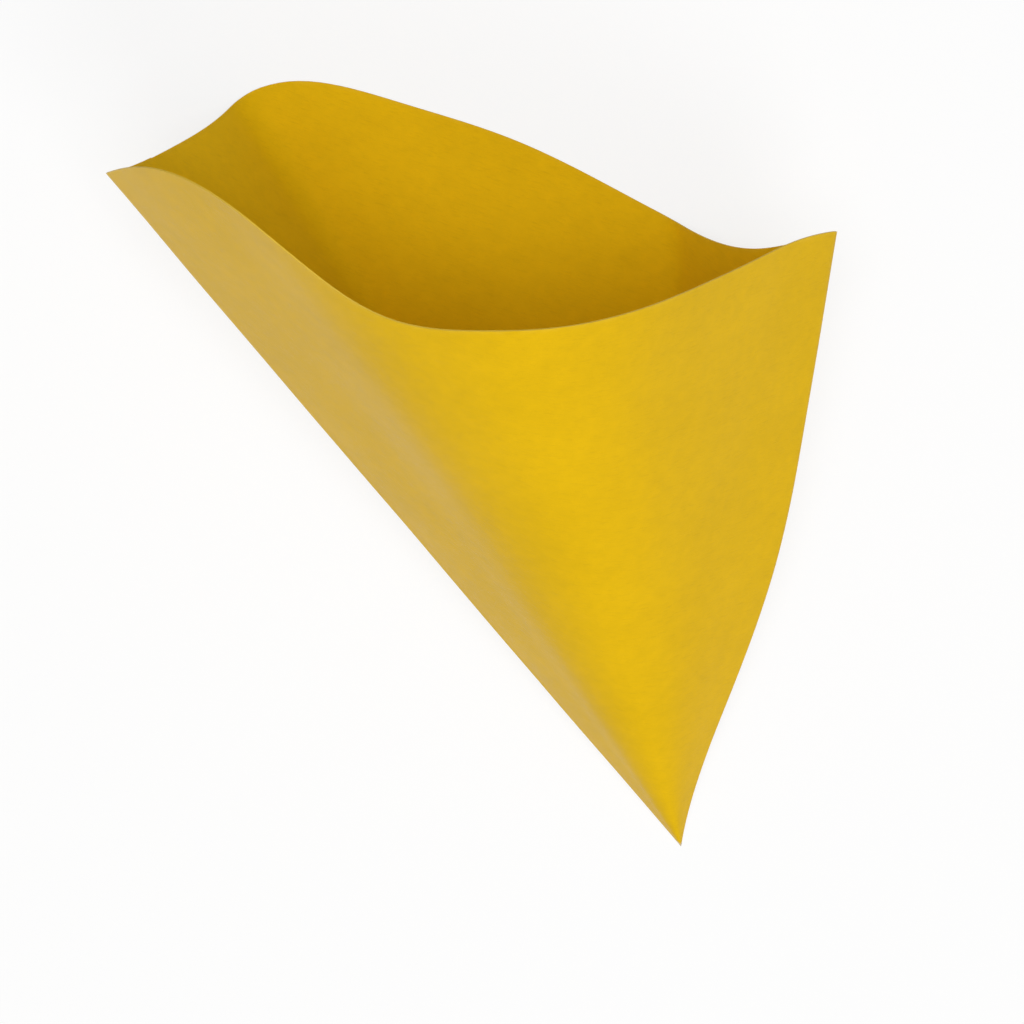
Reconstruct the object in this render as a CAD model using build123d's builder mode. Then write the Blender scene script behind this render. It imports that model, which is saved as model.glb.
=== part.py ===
from build123d import *
from math import exp
import os

# A paper cone folded from one sheet, glued along a flap, opened, and lying on its back.
# Millimetres. Z is up, the mouth looks toward +Y, and the long crease is on the -X side.
# The origin is on the flat strip that the cone lies on.

# Sheet
paper = 0.4
flap_width = 16.0

# Section across the cone, measured at this height above the tip
section_height = 200.0
long_corner = 81.7
short_corner = 79.9
front_depth = 78.5
back_depth = 48.0

# The short crease swings inward near the tip, and the plies are pressed together there
swing = 15.0
swing_height = 48.0

# Front of the section: share of the way from the middle to a crease, and share of the front's depth
front_shape = [(1, 0), (0.86, 0.23), (0.7, 0.48), (0.56, 0.7), (0.36, 0.89)]
front_shape += [(0.085, 1), (-0.43, 0.68), (-0.74, 0.31), (-1, 0)]
front_steps = 10

# Back of the section: a pinched ear at the short crease, then a flat strip between two rounded bends
ear_share = 0.77
ear_depth = 10.0
ear_bend = 14.0
strip_short_share = 0.52
strip_long_share = 0.64
strip_bend = 10.0

# Along the floor from the tip to the origin, and the sliver pressed flat where the paper lies on the floor
tip_to_origin = 110.0
floor_press = 0.05

# Heights above the tip, and the spare paper above the long edge that the mouth trims away
tip_end = 2.0
hollow_start = 18.0
long_edge = 208.5
short_edge = 144.5
spare = 16.5
top = long_edge + spare
levels = 5

# The mouth is trimmed by a surface of straight lines, all square to the creases' plane.
# Along the mouth: share of the way from the long crease to the short one.
# Front and back: rise above the straight way, as a share of its drop, at these depths off the creases' plane.
mouth_shares = [-0.1, 0, 0.09, 0.18, 0.28, 0.45, 0.6, 0.72, 0.84, 1, 1.3]
mouth_front = [0.42, 0.42, 0.36, 0.19, -0.055, -0.05, -0.025, 0.01, 0.16, 0.5, 0.5]
mouth_front_depth = 60.0
mouth_back = [-0.3, -0.26, -0.13, 0.01, 0.12, 0.09, -0.01, -0.17, -0.35, -0.45, -0.45]
mouth_back_depth = 45.0
clearance = 10.0

# Planes: across the cone at its tip, and through both creases with its normal toward the back
tip = Vector(0, -tip_to_origin, -floor_press)
cone_plane = Plane(origin=tip, x_dir=(-1, 0, 0), z_dir=(0, section_height, back_depth))
crease_plane = Plane(origin=tip, x_dir=(-1, 0, 0), z_dir=-cone_plane.y_dir)
heights = [top * level / levels for level in range(1, levels + 1)]
front_parameters = [step / front_steps for step in range(front_steps + 1)]


def across(share, height):
    """Distance across the section: positive shares run to the long crease, negative ones to the short."""
    if share > 0:
        return share * long_corner * height / section_height
    straight = short_corner * height / section_height
    return share * (straight + swing * (1 - exp(-((height / swing_height) ** 2))))


def section_corners(height, inset):
    """Corners of the section moved inward by the inset: the front from crease to crease, then the back."""
    grow = height / section_height
    points = [(across(share, height), depth * front_depth * grow) for share, depth in front_shape]
    front = Spline(*points, mode=Mode.PRIVATE)
    corners = [front @ (step / front_steps) for step in range(front_steps + 1)]
    corners.append(Vector(across(-ear_share, height), -ear_depth * grow))
    corners.append(Vector(across(-strip_short_share, height), -back_depth * grow))
    corners.append(Vector(across(strip_long_share, height), -back_depth * grow))
    moved = []
    for index, corner in enumerate(corners):
        arriving = (corner - corners[index - 1]).normalized().rotate(Axis.Z, 90)
        leaving = (corners[(index + 1) % len(corners)] - corner).normalized().rotate(Axis.Z, 90)
        moved.append(corner + (arriving + leaving) * (inset / (1 + arriving.dot(leaving))))
    return moved


def outer_outline(height):
    """Outer outline of the section, with the flap folded round the long crease onto the back."""
    grow = height / section_height
    ply = paper * min(1, height / swing_height)
    bends = [ear_bend * grow, strip_bend * grow, strip_bend * grow]
    with BuildLine() as outline:
        corners = section_corners(height, 0)
        along_front = (corners[0] - corners[1]).normalized()
        along_back = (corners[-1] - corners[0]).normalized()
        outward = along_back.rotate(Axis.Z, 90)
        fold = corners[0] + along_front * (ply / along_front.dot(outward))
        flap_edge = corners[0] + along_back * (flap_width * grow)
        add(Edge.make_spline([fold, *corners[1 : front_steps + 1]], parameters=front_parameters))
        FilletPolyline(*corners[front_steps:], flap_edge, radius=bends)
        Polyline(flap_edge, flap_edge + outward * ply, fold)
    return outline.edges()


def inner_outline(height):
    """Inner outline of the section, one thickness of paper inside the outer one."""
    grow = height / section_height
    bends = [ear_bend * grow + paper, strip_bend * grow - paper, strip_bend * grow - paper]
    with BuildLine() as outline:
        corners = section_corners(height, paper)
        add(Edge.make_spline(corners[: front_steps + 1], parameters=front_parameters))
        FilletPolyline(*corners[front_steps:], corners[0], radius=bends)
    return outline.edges()


def waste_outline(depth):
    """Outline around everything above the mouth, at this depth behind the creases' plane."""
    long_end = Vector(across(1, long_edge), long_edge)
    short_end = Vector(across(-1, short_edge), short_edge)
    toward_back = (depth + mouth_front_depth) / (mouth_front_depth + mouth_back_depth)
    mouth = []
    for share, front, back in zip(mouth_shares, mouth_front, mouth_back):
        rise = front + (back - front) * toward_back
        mouth.append(long_end + (short_end - long_end) * share + Vector(0, rise * (long_edge - short_edge)))
    evenly = [(share - mouth_shares[0]) / (mouth_shares[-1] - mouth_shares[0]) for share in mouth_shares]
    above = 2 * top
    with BuildLine() as outline:
        add(Edge.make_spline(mouth, parameters=evenly))
        Polyline(mouth[-1], (mouth[-1].X, above), (mouth[0].X, above), mouth[0])
    return outline.edges()


with BuildPart() as paper_cone:
    # Outer surface
    for height in [tip_end, *heights]:
        with BuildSketch(cone_plane.offset(height)):
            make_face(outer_outline(height))
    loft()
    # Mouth
    for depth in (-front_depth * top / section_height - clearance, back_depth * top / section_height + clearance):
        with BuildSketch(crease_plane.offset(depth)):
            make_face(waste_outline(depth))
    loft(ruled=True, mode=Mode.SUBTRACT)
    # Hollow, ending short of the tip where the plies meet
    for height in [hollow_start, *heights]:
        with BuildSketch(cone_plane.offset(height)):
            make_face(inner_outline(height))
    loft(mode=Mode.SUBTRACT)
    # Strip on the floor
    split(bisect_by=Plane.XY)

paper_cone.part.label = "paper_cone"

os.makedirs("parts", exist_ok=True)
export_step(paper_cone.part, "parts/paper_cone.step")
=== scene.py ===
"""Dresses a paper cone that is folded from one sheet of yellow straw paper and lies on its back.

Metres. Z is up, the mouth looks toward +Y, the long crease is on the -X side, and the origin is on
the strip that the cone lies on. The sheet is one Geometry Nodes tree: it takes the section of the
cone, with the height of the rim at each station, and folds a grid of paper along it.
"""

from math import atan, cos, pi, radians, sin

import bpy
import numpy as np
from mathutils import Matrix, Vector


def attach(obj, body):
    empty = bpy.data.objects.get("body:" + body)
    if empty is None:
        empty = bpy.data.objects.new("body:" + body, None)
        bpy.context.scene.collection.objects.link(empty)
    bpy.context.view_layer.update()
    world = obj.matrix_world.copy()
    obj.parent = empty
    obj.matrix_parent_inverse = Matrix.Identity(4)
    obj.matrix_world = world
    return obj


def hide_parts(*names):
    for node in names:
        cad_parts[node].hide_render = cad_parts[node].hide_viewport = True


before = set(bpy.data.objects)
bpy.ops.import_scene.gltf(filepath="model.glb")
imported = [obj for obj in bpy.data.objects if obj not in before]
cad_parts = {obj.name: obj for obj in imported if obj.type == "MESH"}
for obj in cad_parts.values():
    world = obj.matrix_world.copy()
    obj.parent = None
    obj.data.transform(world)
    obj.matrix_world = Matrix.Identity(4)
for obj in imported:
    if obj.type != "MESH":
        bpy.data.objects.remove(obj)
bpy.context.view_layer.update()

bl_info = {
    "name": "Paper Fry Cone",
    "version": (1, 0, 0),
    "blender": (4, 5, 0),
    "location": "View3D > Sidebar > Fry Cone",
    "description": "Folds a straw-paper serving cone and sets up a plain studio round it",
    "category": "Object",
}

# Points on a fitted curve, round a bend of the section, round a crease, and along the flap
CURVE_POINTS = 400
BEND_POINTS = 10
CREASE_POINTS = 7
FLAP_POINTS = 12
# Length that one radian of turn counts for when the stations are spread round the section
CROWDING = 0.012
# Offset of the flap in thicknesses of paper
PLY_GAP = 1.05
# Height over the strip on the floor within which the sheet becomes free to bulge
FREE_HEIGHT = 0.03
# Rounds in which the height of the rim settles
RIM_ROUNDS = 30
# Power of the fading that lets the plies grow thick above the tip
TIP_POWER = 4
# A random bulge: scale of its noise across and along the cone's axis, and the noise's detail
WAVE_SCALE = (1, 1, 0.3)
WAVE_DETAIL = 1.5
# Points nearer than this are one, and edges that turn more than this are sharp
MERGE_DISTANCE = 1e-7
SHARP_ANGLE = radians(50)
# Values of the attribute that tells the faces of the sheet apart, and how near one has to be
OUTER_FACE, INNER_FACE, CUT_FACE = 0.0, 1.0, 2.0
FACE_MARGIN = 0.1

# Coarse fibres: waves of noise per fibre length, its detail and its squeeze across the fibre,
# the ways that they lie, the window of the noise that shows, and its share in the colour
FIBRE_SCALE = 1.6
FIBRE_DETAIL = 2.0
FIBRE_SQUEEZE = (1, 9, 1)
FIBRE_WAYS = (0.2, 1.1, 2.0, 2.75)
FIBRE_WINDOW = (0.6, 0.74)
FIBRE_SHARE = 0.22
# Unevenness of the dye, from wide to fine: scale of its noise on the flat sheet, the noise's
# detail and roughness, and the change of the tone
CLOUDS = (38, 3.0, 0.5, 0.14)
MOTTLE = (260, 4.0, 0.6, 0.16)
GRAIN = (2600, 3.0, 0.65, 0.1)
# Wear along the creases and the rim: its width, the window of the mottling that it follows,
# and the share of the cut edge's colour. Last, that share on the cut edge itself
RUBBED = (0.0018, (0.3, 0.7), 0.35)
WORN = (0.0012, (0.35, 0.65), 0.3)
CUT_SHARE = 0.8
# Relief: shares of the fibres, the grain and the mottling, its strength and its depth.
# Then the change of roughness, and the gloss and the sheen of the paper
RELIEF = (0.5, 0.6, 0.9)
RELIEF_STRENGTH = 0.35
RELIEF_DEPTH = 0.00012
ROUGHNESS_CHANGE = 0.2
SPECULAR = 0.02
SHEEN = 0.52
SHEEN_ROUGHNESS = 0.3

# Floor: how far it is under the cone, its colour, the scale, detail, colour and share of its
# clouds, its gloss, and how much it shows itself white
FLOOR_DROP = 0.0002
FLOOR_COLOUR = (0.86, 0.86, 0.86, 1)
CLOUD_SCALE = 9.0
CLOUD_DETAIL = 4.0
CLOUD_COLOUR = (0.7, 0.7, 0.7, 1)
CLOUD_SHARE = 0.04
FLOOR_ROUGHNESS = 0.9
FLOOR_SPECULAR = 0.1
FLOOR_GLOW = 0.78
WHITE = (1, 1, 1, 1)
# Camera: width of its sensor in millimetres, and how far it sees in metres
SENSOR = 36
FAR = 100


class ConeShape(bpy.types.PropertyGroup):
    """Sizes of the folded sheet"""

    paper: bpy.props.FloatProperty(
        name="Paper",
        description="Thickness of the sheet",
        default=0.0004,
        unit="LENGTH",
        precision=5,
    )
    flap_width: bpy.props.FloatProperty(
        name="Flap Width",
        description="Width of the glued flap at the section",
        default=0.016,
        unit="LENGTH",
    )
    section_height: bpy.props.FloatProperty(
        name="Section Height",
        description="Height of the section above the tip",
        default=0.2,
        unit="LENGTH",
    )
    long_corner: bpy.props.FloatProperty(
        name="Long Corner",
        description="From the middle to the long crease",
        default=0.0817,
        unit="LENGTH",
    )
    short_corner: bpy.props.FloatProperty(
        name="Short Corner",
        description="From the middle to the short crease",
        default=0.0799,
        unit="LENGTH",
    )
    front_shares: bpy.props.FloatVectorProperty(
        name="Front Shares",
        description="Points of the front as shares of the way from the middle to a crease",
        size=9,
        default=(1, 0.86, 0.7, 0.56, 0.36, 0.085, -0.43, -0.74, -1),
    )
    front_depths: bpy.props.FloatVectorProperty(
        name="Front Depths",
        description="How far each point is in front of the creases, as a share of the depth",
        size=9,
        default=(0, 0.23, 0.48, 0.7, 0.89, 1, 0.68, 0.31, 0),
    )
    front_depth: bpy.props.FloatProperty(
        name="Front Depth",
        description="From the creases to the ridge of the front",
        default=0.0785,
        unit="LENGTH",
    )
    back_depth: bpy.props.FloatProperty(
        name="Back Depth",
        description="From the creases to the strip on the floor",
        default=0.048,
        unit="LENGTH",
    )
    back_shares: bpy.props.FloatVectorProperty(
        name="Back Shares",
        description="Ear and both bends of the strip as shares of the way to a crease",
        size=3,
        default=(-0.77, -0.52, 0.64),
    )
    back_bends: bpy.props.FloatVectorProperty(
        name="Back Bends",
        description="Radius of the ear and of both bends of the strip",
        size=3,
        default=(0.014, 0.01, 0.01),
        unit="LENGTH",
    )
    ear_depth: bpy.props.FloatProperty(
        name="Ear Depth",
        description="How far the ear stands behind the creases",
        default=0.01,
        unit="LENGTH",
    )
    crease_round: bpy.props.FloatProperty(
        name="Crease Round",
        description="Length of paper that a crease rounds",
        default=0.0012,
        unit="LENGTH",
    )
    swing: bpy.props.FloatProperty(
        name="Swing",
        description="How far the short crease swings inward at the tip",
        default=0.015,
        unit="LENGTH",
    )
    swing_height: bpy.props.FloatProperty(
        name="Swing Height",
        description="Height over which the short crease swings",
        default=0.048,
        unit="LENGTH",
    )
    tip_to_origin: bpy.props.FloatProperty(
        name="Tip to Origin",
        description="Along the floor from the tip to the origin",
        default=0.11,
        unit="LENGTH",
    )
    long_edge: bpy.props.FloatProperty(
        name="Long Edge",
        description="Height of the rim at the long crease",
        default=0.2085,
        unit="LENGTH",
    )
    short_edge: bpy.props.FloatProperty(
        name="Short Edge",
        description="Height of the rim at the short crease",
        default=0.1445,
        unit="LENGTH",
    )
    mouth_shares: bpy.props.FloatVectorProperty(
        name="Mouth Shares",
        description="Points along the mouth as shares of the way to the short crease",
        size=11,
        default=(-0.1, 0, 0.09, 0.18, 0.28, 0.45, 0.6, 0.72, 0.84, 1, 1.3),
    )
    mouth_front: bpy.props.FloatVectorProperty(
        name="Mouth Front",
        description="Rise of the front line over the straight way, as shares of its drop",
        size=11,
        default=(0.42, 0.42, 0.36, 0.19, -0.055, -0.05, -0.025, 0.01, 0.16, 0.5, 0.5),
    )
    mouth_back: bpy.props.FloatVectorProperty(
        name="Mouth Back",
        description="Rise of the back line over the straight way, as shares of its drop",
        size=11,
        default=(-0.42, -0.33, -0.14, 0.01, 0.12, 0.09, -0.01, -0.17, -0.34, -0.37, -0.3),
    )
    mouth_depths: bpy.props.FloatVectorProperty(
        name="Mouth Depths",
        description="Depth behind the creases of the front line and the back line of the mouth",
        size=2,
        default=(-0.06, 0.045),
        unit="LENGTH",
    )
    stations: bpy.props.IntProperty(
        name="Stations", description="Points round the section", default=220, min=40
    )
    rows: bpy.props.IntProperty(
        name="Rows", description="Points from the tip to the rim", default=110, min=10
    )
    wave_height: bpy.props.FloatProperty(
        name="Wave Height",
        description="How far the sheet bulges at random",
        default=0.0006,
        unit="LENGTH",
    )
    wave_size: bpy.props.FloatProperty(
        name="Wave Size", description="Width of a random bulge", default=0.035, unit="LENGTH"
    )
    seed: bpy.props.IntProperty(name="Seed", description="Picks the random bulges", default=7)


class ConeLook(bpy.types.PropertyGroup):
    """Finish of the straw paper"""

    colour: bpy.props.FloatVectorProperty(
        name="Colour",
        description="Colour of the paper",
        subtype="COLOR",
        size=3,
        default=(0.735, 0.45, 0.004),
    )
    # Painted light: a lighter copy of the paper's colour for the inner face, which brightens the
    # shaded inside of the cone
    inside: bpy.props.FloatVectorProperty(
        name="Inside",
        description="Colour of the inner face",
        subtype="COLOR",
        size=3,
        default=(0.8, 0.49, 0.005),
    )
    straw: bpy.props.FloatVectorProperty(
        name="Straw",
        description="Colour of the coarse fibres",
        subtype="COLOR",
        size=3,
        default=(0.56, 0.32, 0.004),
    )
    cut_edge: bpy.props.FloatVectorProperty(
        name="Cut Edge",
        description="Colour of the cut edge",
        subtype="COLOR",
        size=3,
        default=(0.72, 0.49, 0.06),
    )
    fibre_length: bpy.props.FloatProperty(
        name="Fibre Length", description="Length of a coarse fibre", default=0.006, unit="LENGTH"
    )
    roughness: bpy.props.FloatProperty(
        name="Roughness",
        description="Roughness of the paper",
        default=0.62,
        min=0,
        max=1,
        subtype="FACTOR",
    )


class ConeStage(bpy.types.PropertyGroup):
    """Floor, light and camera"""

    floor_size: bpy.props.FloatProperty(
        name="Floor Size", description="Side of the floor", default=8.0, unit="LENGTH"
    )
    sky: bpy.props.FloatProperty(
        name="Sky", description="Strength of the light from all round", default=0.16
    )
    key: bpy.props.FloatProperty(
        name="Key", description="Power of the main lamp", default=23.0, unit="POWER"
    )
    key_place: bpy.props.FloatVectorProperty(
        name="Key Place",
        description="Middle of the main lamp",
        size=3,
        default=(-0.1, 0.35, 1.85),
        unit="LENGTH",
    )
    fill: bpy.props.FloatProperty(
        name="Fill", description="Power of the second lamp", default=16.5, unit="POWER"
    )
    fill_place: bpy.props.FloatVectorProperty(
        name="Fill Place",
        description="Middle of the second lamp",
        size=3,
        default=(0.25, -1.1, 1.5),
        unit="LENGTH",
    )
    lamp_size: bpy.props.FloatProperty(
        name="Lamp Size", description="Side of both lamps", default=1.2, unit="LENGTH"
    )
    view_slant: bpy.props.FloatProperty(
        name="View Slant",
        description="Angle of the view across the cone's axis",
        default=radians(26),
        subtype="ANGLE",
    )
    roll: bpy.props.FloatProperty(
        name="Roll",
        description="Turn of the picture about the view",
        default=radians(15.8),
        subtype="ANGLE",
    )
    aim: bpy.props.FloatVectorProperty(
        name="Aim",
        description="Middle of the picture from the tip: across, upward, toward the camera",
        size=3,
        default=(-0.0172, 0.0883, 0.0658),
        unit="LENGTH",
    )
    distance: bpy.props.FloatProperty(
        name="Distance", description="From the aim to the camera", default=1.5, unit="LENGTH"
    )
    frame_width: bpy.props.FloatProperty(
        name="Frame Width",
        description="Width of the picture at the aim",
        default=0.2355,
        unit="LENGTH",
    )


def place(tree, kind, inputs=None, **settings):
    """A new node. An input is a plain value or the output socket that feeds it."""
    made = tree.nodes.new(kind)
    for name, value in settings.items():
        setattr(made, name, value)
    for key, value in (inputs or {}).items():
        if isinstance(value, bpy.types.NodeSocket):
            tree.links.new(value, made.inputs[key])
        else:
            made.inputs[key].default_value = value
    return made


def work(tree, operation, *values):
    """The output of a math node."""
    return place(tree, "ShaderNodeMath", dict(enumerate(values)), operation=operation).outputs[0]


def vector(tree, operation, inputs):
    """A vector math node."""
    return place(tree, "ShaderNodeVectorMath", inputs, operation=operation)


def blend_colour(tree, factor, first, second):
    """The output of a colour mix node."""
    inputs = {0: factor, 6: first, 7: second}
    return place(tree, "ShaderNodeMix", inputs, data_type="RGBA").outputs[2]


def seen_directly(tree):
    """1 for the rays that show the background itself: the camera's, mirrored and refracted ones."""
    rays = place(tree, "ShaderNodeLightPath").outputs
    seen = work(tree, "MAXIMUM", rays["Is Camera Ray"], rays["Is Glossy Ray"])
    return work(tree, "MAXIMUM", seen, rays["Is Transmission Ray"])


def smooth_line(points, count, knots=None):
    """Points spread evenly in parameter on a natural cubic curve through the given ones."""
    points = np.asarray(points, float)
    knots = along(points) if knots is None else np.subtract(knots, knots[0])
    gaps = np.diff(knots)
    size = len(points)
    matrix = np.eye(size)
    right = np.zeros_like(points)
    for i in range(1, size - 1):
        matrix[i, i - 1 : i + 2] = gaps[i - 1], 2 * (gaps[i - 1] + gaps[i]), gaps[i]
        rise, last_rise = points[i + 1] - points[i], points[i] - points[i - 1]
        right[i] = 6 * (rise / gaps[i] - last_rise / gaps[i - 1])
    bend = np.linalg.solve(matrix, right)
    line = []
    for t in np.linspace(0, knots[-1], count):
        i = min(np.searchsorted(knots, t, side="right") - 1, size - 2)
        before, after, gap = t - knots[i], knots[i + 1] - t, gaps[i]
        line.append(
            bend[i] * after**3 / (6 * gap)
            + bend[i + 1] * before**3 / (6 * gap)
            + (points[i] / gap - bend[i] * gap / 6) * after
            + (points[i + 1] / gap - bend[i + 1] * gap / 6) * before
        )
    return np.array(line)


def rounded_line(corners, radii):
    """Corners joined by straight runs, with each inner corner rounded."""
    line = [np.asarray(corners[0], float)]
    for before, corner, after, radius in zip(corners, corners[1:], corners[2:], radii):
        back = np.subtract(before, corner) / np.linalg.norm(np.subtract(before, corner))
        on = np.subtract(after, corner) / np.linalg.norm(np.subtract(after, corner))
        half = np.arccos(np.clip(back @ on, -1, 1)) / 2
        centre = corner + (back + on) / np.linalg.norm(back + on) * radius / np.sin(half)
        start = corner + back * radius / np.tan(half) - centre
        end = corner + on * radius / np.tan(half) - centre
        turn = np.arctan2(start[0] * end[1] - start[1] * end[0], start @ end)
        for angle in turn * np.linspace(0, 1, BEND_POINTS):
            x = start[0] * cos(angle) - start[1] * sin(angle)
            y = start[0] * sin(angle) + start[1] * cos(angle)
            line.append(centre + [x, y])
    line.append(np.asarray(corners[-1], float))
    return np.array(line)


def along(line):
    """Length along a line up to each of its points."""
    return np.concatenate([[0], np.cumsum(np.linalg.norm(np.diff(line, axis=0), axis=1))])


def crease_line(before, after, length):
    """Two lines that meet at a point, joined by a tight crease."""
    before_length = along(before)
    after_length = along(after)
    start = [np.interp(before_length[-1] - length, before_length, before[:, i]) for i in range(2)]
    end = [np.interp(length, after_length, after[:, i]) for i in range(2)]
    keep_before = before[before_length < before_length[-1] - length]
    keep_after = after[after_length > length]
    corner = before[-1]
    bend = [
        np.multiply(start, (1 - t) ** 2) + corner * 2 * t * (1 - t) + np.multiply(end, t * t)
        for t in np.linspace(0, 1, CREASE_POINTS)
    ]
    return np.concatenate([keep_before, bend, keep_after])


def section_stations(shape):
    """Stations on the outer face of the sheet, from its inner end under the flap to its outer end.

    The flap lies on the outside of the back, folded round the long crease, and the inner end stops
    just short of that crease. Returns for each station its place across the cone and in front of
    the creases, the offset of its ply, how free it is to bulge, and how far the nearest crease is.
    """
    total_short = shape.short_corner + shape.swing

    def across(share):
        return share * (shape.long_corner if share > 0 else total_short)

    front_points = zip(shape.front_shares, shape.front_depths)
    front = [(across(share), depth * shape.front_depth) for share, depth in front_points]
    front = smooth_line(front, CURVE_POINTS)[::-1]
    ear, strip_short, strip_long = (across(share) for share in shape.back_shares)
    back_corners = [
        (shape.long_corner, 0),
        (strip_long, -shape.back_depth),
        (strip_short, -shape.back_depth),
        (ear, -shape.ear_depth),
        (-total_short, 0),
    ]
    ear_bend, short_bend, long_bend = shape.back_bends
    back = rounded_line(back_corners, (long_bend, short_bend, ear_bend))
    flap_way = np.subtract(back_corners[1], back_corners[0])
    flap_way = flap_way / np.linalg.norm(flap_way)
    flap_edge = flap_way * shape.flap_width
    flap = back_corners[0] + flap_edge * np.linspace(0, 1, FLAP_POINTS)[:, None]
    body = crease_line(back, front, shape.crease_round)
    whole = crease_line(body, flap, shape.crease_round)
    length = along(whole)
    flap_start = length[-1] - shape.flap_width
    short_at = length[np.argmin(whole[:, 0])]
    heading = np.unwrap(np.arctan2(*np.gradient(whole, length, axis=0).T))
    turning = np.abs(np.gradient(heading, length))
    crowd = np.cumsum(np.concatenate([[0], np.diff(length) * (1 + CROWDING * turning[1:])]))
    tucked = np.interp(shape.crease_round, length, crowd)
    wanted = np.linspace(tucked, crowd[-1], shape.stations)
    place_at = np.interp(wanted, crowd, length)
    points = np.stack([np.interp(place_at, length, whole[:, i]) for i in range(2)], axis=1)
    outward = np.array([-flap_way[1], flap_way[0]])
    past_fold = place_at - flap_start + shape.crease_round
    lifted = np.clip(past_fold / (2 * shape.crease_round), 0, 1)
    ply = outward[None, :] * lifted[:, None] * shape.paper * PLY_GAP
    free = np.clip((points[:, 1] + shape.back_depth) / FREE_HEIGHT, 0, 1)
    crease = np.minimum(np.abs(place_at - short_at), np.abs(place_at - flap_start))
    return points, ply, free, crease


def rim_heights(shape, points):
    """Height of the rim at each station, where its straight line from the tip meets the mouth."""
    total_long = shape.long_corner * shape.long_edge / shape.section_height
    total_short = shape.short_corner * shape.short_edge / shape.section_height + shape.swing
    long_end = np.array([total_long, shape.long_edge])
    short_end = np.array([-total_short, shape.short_edge])

    def mouth_line(rises):
        drop = shape.long_edge - shape.short_edge
        line = []
        for share, rise in zip(shape.mouth_shares, rises):
            line.append(long_end + (short_end - long_end) * share + [0, rise * drop])
        return smooth_line(line, CURVE_POINTS, shape.mouth_shares)

    front = mouth_line(shape.mouth_front)
    back = mouth_line(shape.mouth_back)
    front_depth, back_depth = shape.mouth_depths
    heights = []
    for x, y in points:
        height = shape.long_edge
        for _ in range(RIM_ROUNDS):
            grow = height / shape.section_height
            at = x * grow
            if x < 0:
                share = x / (shape.short_corner + shape.swing)
                swung = shape.swing * (1 - np.exp(-((height / shape.swing_height) ** 2)))
                at = share * (shape.short_corner * grow + swung)
            share = (-y * grow - front_depth) / (back_depth - front_depth)
            line = front * (1 - share) + back * share
            height = 0.5 * height + 0.5 * np.interp(-at, -line[:, 0], line[:, 1])
        heights.append(height)
    return np.array(heights)


def unrolled_angles(shape, points):
    """Angle of each station on the flat sheet, about the tip."""
    rays = np.column_stack([points, np.full(len(points), shape.section_height)])
    rays /= np.linalg.norm(rays, axis=1)[:, None]
    steps = np.arccos(np.clip(np.sum(rays[1:] * rays[:-1], axis=1), -1, 1))
    angles = np.concatenate([[0], np.cumsum(steps)])
    return angles - angles[-1] / 2


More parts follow.
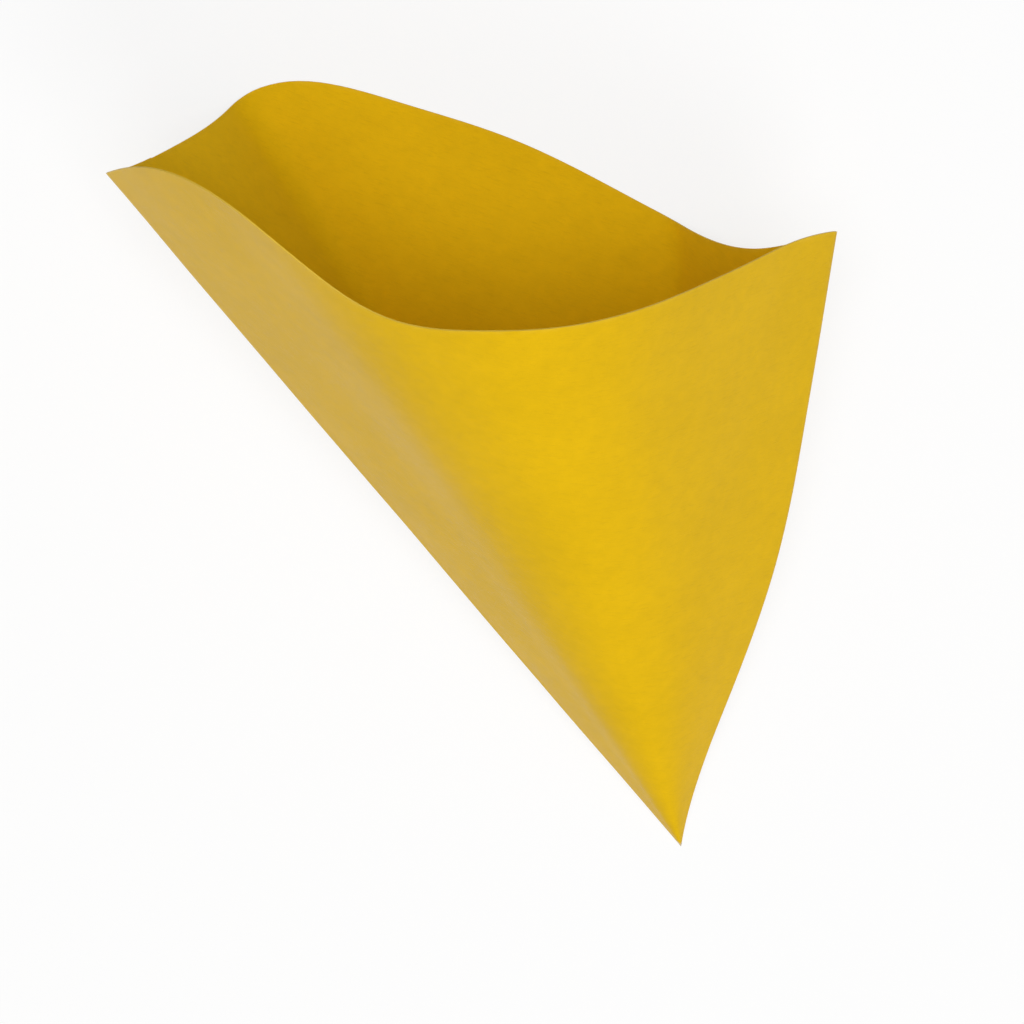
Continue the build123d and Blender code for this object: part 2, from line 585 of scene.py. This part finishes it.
def fold_tree():
    """Geometry Nodes that fold a grid of paper along the stations of the section."""
    tree = bpy.data.node_groups.new("fold_paper_cone", "GeometryNodeTree")
    face = tree.interface
    face.new_socket("Geometry", in_out="INPUT", socket_type="NodeSocketGeometry")
    for name, kind in (
        ("Rows", "Int"),
        ("Section Height", "Float"),
        ("Short Corner", "Float"),
        ("Swing", "Float"),
        ("Swing Height", "Float"),
        ("Paper", "Float"),
        ("Wave Height", "Float"),
        ("Wave Size", "Float"),
        ("Seed", "Int"),
        ("Axis Turn", "Float"),
        ("Tip to Origin", "Float"),
        ("Material", "Material"),
    ):
        face.new_socket(name, in_out="INPUT", socket_type="NodeSocket" + kind)
    face.new_socket("Geometry", in_out="OUTPUT", socket_type="NodeSocketGeometry")
    given = tree.nodes.new("NodeGroupInput").outputs
    size = place(tree, "GeometryNodeAttributeDomainSize", {0: given["Geometry"]})
    stations = size.outputs["Point Count"]
    inputs = {"Vertices X": given["Rows"], "Vertices Y": stations}
    grid = place(tree, "GeometryNodeMeshGrid", inputs).outputs["Mesh"]
    index = place(tree, "GeometryNodeInputIndex").outputs[0]
    station = work(tree, "MODULO", index, stations)
    row = work(tree, "FLOOR", work(tree, "DIVIDE", index, stations))

    def stored(name, kind="FLOAT"):
        inputs = {"Name": name}
        return place(tree, "GeometryNodeInputNamedAttribute", inputs, data_type=kind).outputs[0]

    def sampled(name, kind="FLOAT"):
        inputs = {"Geometry": given["Geometry"], "Value": stored(name, kind), "Index": station}
        return place(tree, "GeometryNodeSampleIndex", inputs, data_type=kind).outputs[0]

    def store(geometry, name, value, kind="FLOAT", domain="FACE"):
        inputs = {"Geometry": geometry, "Name": name, "Value": value}
        settings = {"data_type": kind, "domain": domain}
        return place(tree, "GeometryNodeStoreNamedAttribute", inputs, **settings).outputs[0]

    def merged(geometry):
        inputs = {"Geometry": geometry, "Distance": MERGE_DISTANCE}
        return place(tree, "GeometryNodeMergeByDistance", inputs).outputs[0]

    # Folded sheet
    section = place(tree, "ShaderNodeSeparateXYZ", {0: sampled("section", "FLOAT_VECTOR")})
    rim = sampled("rim")
    share = work(tree, "DIVIDE", row, work(tree, "SUBTRACT", given["Rows"], 1))
    height = work(tree, "MULTIPLY", rim, share)
    grow = work(tree, "DIVIDE", height, given["Section Height"])
    lean = work(tree, "DIVIDE", height, given["Swing Height"])
    lean_squared = work(tree, "MULTIPLY", lean, lean)
    fading = work(tree, "EXPONENT", work(tree, "MULTIPLY", lean_squared, -1))
    swung = work(tree, "MULTIPLY", given["Swing"], work(tree, "SUBTRACT", 1, fading))
    short_way = work(tree, "MULTIPLY_ADD", given["Short Corner"], grow, swung)
    short_total = work(tree, "ADD", given["Short Corner"], given["Swing"])
    short_share = work(tree, "DIVIDE", section.outputs["X"], short_total)
    short_side = work(tree, "MULTIPLY", work(tree, "MINIMUM", short_share, 0), short_way)
    long_side = work(tree, "MULTIPLY", work(tree, "MAXIMUM", section.outputs["X"], 0), grow)
    across = work(tree, "ADD", short_side, long_side)
    depth = work(tree, "MULTIPLY", section.outputs["Y"], grow)
    folded = place(tree, "ShaderNodeCombineXYZ", {0: across, 1: depth, 2: height}).outputs[0]
    past_tip = work(tree, "SUBTRACT", 1, work(tree, "POWER", fading, TIP_POWER))
    ply = vector(tree, "SCALE", {0: sampled("ply", "FLOAT_VECTOR"), "Scale": past_tip}).outputs[0]
    lifted = vector(tree, "ADD", {0: folded, 1: ply}).outputs[0]
    inputs = {"Geometry": grid, "Position": lifted}
    shaped = place(tree, "GeometryNodeSetPosition", inputs).outputs[0]
    for name, value in (
        ("crease", sampled("crease")),
        ("to_rim", work(tree, "SUBTRACT", rim, height)),
        ("past_tip", past_tip),
        ("unrolled", sampled("unrolled")),
        ("free", sampled("free")),
    ):
        shaped = store(shaped, name, value, domain="POINT")
    shaped = merged(shaped)

    # Random bulges
    where = place(tree, "GeometryNodeInputPosition").outputs[0]
    normal = place(tree, "GeometryNodeInputNormal").outputs[0]
    scaled = vector(tree, "MULTIPLY", {0: where, 1: WAVE_SCALE}).outputs[0]
    waves = work(tree, "DIVIDE", 1, given["Wave Size"])
    inputs = {"Vector": scaled, "W": given["Seed"], "Scale": waves, "Detail": WAVE_DETAIL}
    noise = place(tree, "ShaderNodeTexNoise", inputs, noise_dimensions="4D").outputs[0]
    freedom = work(tree, "MULTIPLY", stored("free"), stored("past_tip"))
    reach = work(tree, "MULTIPLY", freedom, given["Wave Height"])
    centred = work(tree, "SUBTRACT", noise, 0.5)
    bulge = work(tree, "MULTIPLY", centred, work(tree, "MULTIPLY", reach, 2))
    push = vector(tree, "SCALE", {0: normal, "Scale": bulge}).outputs[0]
    waved = place(tree, "GeometryNodeSetPosition", {"Geometry": shaped, "Offset": push}).outputs[0]

    # Thickness of the paper
    thickness = work(tree, "MULTIPLY", given["Paper"], stored("past_tip"))
    thickness = work(tree, "MULTIPLY", thickness, -1)
    inputs = {"Mesh": waved, "Offset Scale": thickness, "Individual": False}
    extruded = place(tree, "GeometryNodeExtrudeMesh", inputs).outputs
    inner = place(tree, "GeometryNodeFlipFaces", {"Mesh": extruded["Mesh"]}).outputs[0]
    inputs = {"Switch": extruded["Side"], "False": INNER_FACE, "True": CUT_FACE}
    side = place(tree, "GeometryNodeSwitch", inputs, input_type="FLOAT").outputs[0]
    inner = store(inner, "side", side)
    outer = store(waved, "side", OUTER_FACE)
    joined = place(tree, "GeometryNodeJoinGeometry")
    tree.links.new(outer, joined.inputs[0])
    tree.links.new(inner, joined.inputs[0])
    closed = merged(joined.outputs[0])

    # Place on the flat sheet, for the patterns of the paper
    angle = stored("unrolled")
    slant = vector(tree, "LENGTH", {0: where}).outputs["Value"]
    flat_x = work(tree, "MULTIPLY", slant, work(tree, "SINE", angle))
    flat_y = work(tree, "MULTIPLY", slant, work(tree, "COSINE", angle))
    flat = place(tree, "ShaderNodeCombineXYZ", {0: flat_x, 1: flat_y}).outputs[0]
    mapped = store(closed, "UVMap", flat, "FLOAT2", "CORNER")

    # Lay the cone on the floor
    turn = place(tree, "ShaderNodeCombineXYZ", {0: given["Axis Turn"], 2: pi}).outputs[0]
    tip_place = work(tree, "MULTIPLY", given["Tip to Origin"], -1)
    shift = place(tree, "ShaderNodeCombineXYZ", {1: tip_place}).outputs[0]
    inputs = {"Geometry": mapped, "Translation": shift, "Rotation": turn}
    lying = place(tree, "GeometryNodeTransform", inputs).outputs[0]
    inputs = {"Geometry": lying}
    smooth = place(tree, "GeometryNodeSetShadeSmooth", inputs, domain="FACE").outputs[0]
    edge_angle = place(tree, "GeometryNodeInputMeshEdgeAngle").outputs[0]
    sharp = work(tree, "GREATER_THAN", edge_angle, SHARP_ANGLE)
    inputs = {0: smooth, "Selection": sharp, "Shade Smooth": False}
    edged = place(tree, "GeometryNodeSetShadeSmooth", inputs, domain="EDGE").outputs[0]
    real = place(tree, "GeometryNodeRealizeInstances", {0: edged}).outputs[0]
    inputs = {"Geometry": real, "Material": given["Material"]}
    dressed = place(tree, "GeometryNodeSetMaterial", inputs).outputs[0]
    place(tree, "NodeGroupOutput", {0: dressed})
    return tree


def paper_material(look):
    """Straw paper: dyed, with coarse fibres, soft mottling, rubbed creases, a paler cut edge, and
    an inner face painted lighter against its shade.
    """
    material = bpy.data.materials.new("straw_paper")
    material.use_nodes = True
    tree = material.node_tree
    tree.nodes.clear()
    flat = place(tree, "ShaderNodeUVMap", uv_map="UVMap").outputs[0]

    def noise(scale, detail, roughness=0.5, squeeze=(1, 1, 1), turn=0.0):
        inputs = {"Vector": flat, "Rotation": (0, 0, turn), "Scale": squeeze}
        mapping = place(tree, "ShaderNodeMapping", inputs).outputs[0]
        inputs = {"Vector": mapping, "Scale": scale, "Detail": detail, "Roughness": roughness}
        return place(tree, "ShaderNodeTexNoise", inputs).outputs[0]

    def window(value, low, high):
        inputs = {0: value, 1: low, 2: high, 3: 0.0, 4: 1.0}
        return place(tree, "ShaderNodeMapRange", inputs, clamp=True).outputs[0]

    def attribute(name):
        settings = {"attribute_name": name, "attribute_type": "GEOMETRY"}
        return place(tree, "ShaderNodeAttribute", **settings).outputs["Fac"]

    def is_face(side):
        return work(tree, "COMPARE", attribute("side"), side, FACE_MARGIN)

    def swinging(pattern, reach, level):
        swing = work(tree, "MULTIPLY", work(tree, "SUBTRACT", pattern, 0.5), reach)
        return work(tree, "ADD", swing, level)

    def paled(colour, where, share):
        factor = work(tree, "MULTIPLY", where, share)
        return blend_colour(tree, factor, colour, (*look.cut_edge, 1))

    # Patterns on the flat sheet
    fibres = 0.0
    for way in FIBRE_WAYS:
        scale = FIBRE_SCALE / look.fibre_length
        strands = noise(scale, FIBRE_DETAIL, squeeze=FIBRE_SQUEEZE, turn=way)
        fibres = work(tree, "MAXIMUM", fibres, window(strands, *FIBRE_WINDOW))
    clouds, mottle, grain = (noise(*pattern[:3]) for pattern in (CLOUDS, MOTTLE, GRAIN))

    # Colour
    # The inner face takes the lighter copy of the paper's colour: painted light over the shade
    # inside the cone
    colour = blend_colour(tree, is_face(INNER_FACE), (*look.colour, 1), (*look.inside, 1))
    factor = work(tree, "MULTIPLY", fibres, FIBRE_SHARE)
    colour = blend_colour(tree, factor, colour, (*look.straw, 1))
    tone = swinging(clouds, CLOUDS[3], 1)
    tone = swinging(mottle, MOTTLE[3], tone)
    tone = swinging(grain, GRAIN[3], tone)
    colour = vector(tree, "SCALE", {0: colour, "Scale": tone}).outputs[0]
    for name, (width, mottled, share) in (("crease", RUBBED), ("to_rim", WORN)):
        wear = work(tree, "MULTIPLY", window(attribute(name), width, 0.0), window(mottle, *mottled))
        colour = paled(colour, wear, share)
    colour = paled(colour, is_face(CUT_FACE), CUT_SHARE)

    # Surface
    roughness = swinging(mottle, ROUGHNESS_CHANGE, look.roughness)
    relief = 0.0
    for pattern, share in zip((fibres, grain, mottle), RELIEF):
        relief = work(tree, "MULTIPLY_ADD", pattern, share, relief)
    inputs = {"Strength": RELIEF_STRENGTH, "Distance": RELIEF_DEPTH, "Height": relief}
    bump = place(tree, "ShaderNodeBump", inputs).outputs[0]
    inputs = {"Base Color": colour, "Roughness": roughness, "Normal": bump}
    inputs |= {"Specular IOR Level": SPECULAR}
    inputs |= {"Sheen Weight": SHEEN, "Sheen Roughness": SHEEN_ROUGHNESS}
    shader = place(tree, "ShaderNodeBsdfPrincipled", inputs).outputs[0]
    place(tree, "ShaderNodeOutputMaterial", {0: shader})
    return material


def floor_material():
    """A plain pale floor that also shows itself white to the camera, with the shadows kept."""
    material = bpy.data.materials.new("studio_white")
    material.use_nodes = True
    tree = material.node_tree
    tree.nodes.clear()
    texture = place(tree, "ShaderNodeTexCoord").outputs["Object"]
    inputs = {"Vector": texture, "Scale": CLOUD_SCALE, "Detail": CLOUD_DETAIL}
    cloud = place(tree, "ShaderNodeTexNoise", inputs).outputs[0]
    factor = work(tree, "MULTIPLY", cloud, CLOUD_SHARE)
    tint = blend_colour(tree, factor, FLOOR_COLOUR, CLOUD_COLOUR)
    inputs = {"Base Color": tint, "Roughness": FLOOR_ROUGHNESS}
    inputs |= {"Specular IOR Level": FLOOR_SPECULAR}
    surface = place(tree, "ShaderNodeBsdfPrincipled", inputs).outputs[0]
    light = place(tree, "ShaderNodeEmission", {"Color": WHITE, "Strength": 1.0}).outputs[0]
    inputs = {0: work(tree, "MULTIPLY", seen_directly(tree), FLOOR_GLOW), 1: surface, 2: light}
    mixed = place(tree, "ShaderNodeMixShader", inputs).outputs[0]
    place(tree, "ShaderNodeOutputMaterial", {0: mixed})
    return material


class PAPERCONE_OT_fold(bpy.types.Operator):
    """Fold the sheet of straw paper into the cone"""

    bl_idname = "paper_cone.fold"
    bl_label = "Fold Paper Cone"

    def execute(self, context):
        shape = context.scene.cone_shape
        points, ply, free, crease = section_stations(shape)
        mesh = bpy.data.meshes.new("section_stations")
        flat = [(x, y, 0) for x, y in points]
        mesh.from_pydata(flat, [(i, i + 1) for i in range(len(flat) - 1)], [])
        for name, values in (("section", flat), ("ply", [(x, y, 0) for x, y in ply])):
            made = mesh.attributes.new(name, "FLOAT_VECTOR", "POINT")
            made.data.foreach_set("vector", np.ravel(values))
        for name, values in (
            ("rim", rim_heights(shape, points)),
            ("unrolled", unrolled_angles(shape, points)),
            ("free", free),
            ("crease", crease),
        ):
            mesh.attributes.new(name, "FLOAT", "POINT").data.foreach_set("value", values)
        pattern = bpy.data.objects.new("section_stations", mesh)
        context.scene.collection.objects.link(pattern)
        tree = fold_tree()
        modifier = pattern.modifiers.new("fold", "NODES")
        modifier.node_group = tree
        values = {
            "Rows": shape.rows,
            "Section Height": shape.section_height,
            "Short Corner": shape.short_corner,
            "Swing": shape.swing,
            "Swing Height": shape.swing_height,
            "Paper": shape.paper,
            "Wave Height": shape.wave_height,
            "Wave Size": shape.wave_size,
            "Seed": shape.seed,
            "Axis Turn": pi / 2 - atan(shape.back_depth / shape.section_height),
            "Tip to Origin": shape.tip_to_origin,
            "Material": paper_material(context.scene.cone_look),
        }
        for item in tree.interface.items_tree:
            if item.item_type == "SOCKET" and item.in_out == "INPUT" and item.name in values:
                modifier[item.identifier] = values[item.name]
        evaluated = pattern.evaluated_get(context.evaluated_depsgraph_get())
        sheet = bpy.data.meshes.new_from_object(evaluated)
        sheet.name = "paper_sheet"
        if len(sheet.polygons) < shape.rows * shape.stations:
            raise RuntimeError("the sheet came out of its node tree without its faces")
        bpy.data.objects.remove(pattern)
        bpy.data.meshes.remove(mesh)
        piece = bpy.data.objects.new("paper_sheet", sheet)
        context.scene.collection.objects.link(piece)
        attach(piece, "root")
        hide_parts("paper_cone")
        return {"FINISHED"}


class PAPERCONE_OT_stage(bpy.types.Operator):
    """Set up the floor, the lamps, the sky and the camera"""

    bl_idname = "paper_cone.stage"
    bl_label = "Set Up Studio"

    def execute(self, context):
        scene = context.scene
        stage = scene.cone_stage
        scene.view_settings.view_transform = "Standard"
        half = stage.floor_size / 2
        corners = [(-half, -half), (half, -half), (half, half), (-half, half)]
        mesh = bpy.data.meshes.new("studio_floor")
        mesh.from_pydata([(x, y, -FLOOR_DROP) for x, y in corners], [], [(0, 1, 2, 3)])
        mesh.materials.append(floor_material())
        floor = bpy.data.objects.new("studio_floor", mesh)
        scene.collection.objects.link(floor)

        world = bpy.data.worlds.new("studio_sky")
        scene.world = world
        world.use_nodes = True
        tree = world.node_tree
        tree.nodes.clear()
        inputs = {0: seen_directly(tree), 2: stage.sky, 3: 1.0}
        strength = place(tree, "ShaderNodeMix", inputs, data_type="FLOAT").outputs[0]
        sky = place(tree, "ShaderNodeBackground", {"Color": WHITE, "Strength": strength}).outputs[0]
        place(tree, "ShaderNodeOutputWorld", {0: sky})

        for name, power, at in (
            ("key_lamp", stage.key, Vector(stage.key_place)),
            ("fill_lamp", stage.fill, Vector(stage.fill_place)),
        ):
            lamp = bpy.data.lights.new(name, "AREA")
            lamp.energy = power
            lamp.size = stage.lamp_size
            holder = bpy.data.objects.new(name, lamp)
            holder.location = at
            holder.rotation_euler = (-at).to_track_quat("-Z", "Y").to_euler()
            scene.collection.objects.link(holder)

        shape = scene.cone_shape
        pitch = atan(shape.back_depth / shape.section_height)
        axis = Vector((0, cos(pitch), sin(pitch)))
        front = Vector((0, -sin(pitch), cos(pitch)))
        side = Vector((1, 0, 0))
        toward = front * cos(stage.view_slant) + axis * sin(stage.view_slant)
        upward = axis * cos(stage.view_slant) - front * sin(stage.view_slant)
        aim = Vector((0, -shape.tip_to_origin, 0))
        aim += side * stage.aim[0] + upward * stage.aim[1] + toward * stage.aim[2]
        right = side * cos(stage.roll) - upward * sin(stage.roll)
        top = side * sin(stage.roll) + upward * cos(stage.roll)
        lens = bpy.data.cameras.new("camera")
        lens.sensor_width = SENSOR
        lens.lens = SENSOR * stage.distance / stage.frame_width
        lens.clip_end = FAR
        camera = bpy.data.objects.new("camera", lens)
        turn = Matrix((right, top, toward)).transposed().to_4x4()
        camera.matrix_world = Matrix.Translation(aim + toward * stage.distance) @ turn
        scene.collection.objects.link(camera)
        scene.camera = camera
        return {"FINISHED"}


class PAPERCONE_PT_panel(bpy.types.Panel):
    """Lists the steps that make the cone"""

    bl_label = "Paper Fry Cone"
    bl_idname = "PAPERCONE_PT_panel"
    bl_space_type = "VIEW_3D"
    bl_region_type = "UI"
    bl_category = "Fry Cone"

    def draw(self, context):
        self.layout.operator(PAPERCONE_OT_fold.bl_idname)
        self.layout.operator(PAPERCONE_OT_stage.bl_idname)


CLASSES = (
    ConeShape,
    ConeLook,
    ConeStage,
    PAPERCONE_OT_fold,
    PAPERCONE_OT_stage,
    PAPERCONE_PT_panel,
)


def register():
    for kind in CLASSES:
        bpy.utils.register_class(kind)
    bpy.types.Scene.cone_shape = bpy.props.PointerProperty(type=ConeShape)
    bpy.types.Scene.cone_look = bpy.props.PointerProperty(type=ConeLook)
    bpy.types.Scene.cone_stage = bpy.props.PointerProperty(type=ConeStage)


def unregister():
    del bpy.types.Scene.cone_stage
    del bpy.types.Scene.cone_look
    del bpy.types.Scene.cone_shape
    for kind in reversed(CLASSES):
        bpy.utils.unregister_class(kind)


def main():
    register()
    bpy.ops.paper_cone.fold()
    bpy.ops.paper_cone.stage()


if __name__ == "__main__":
    main()
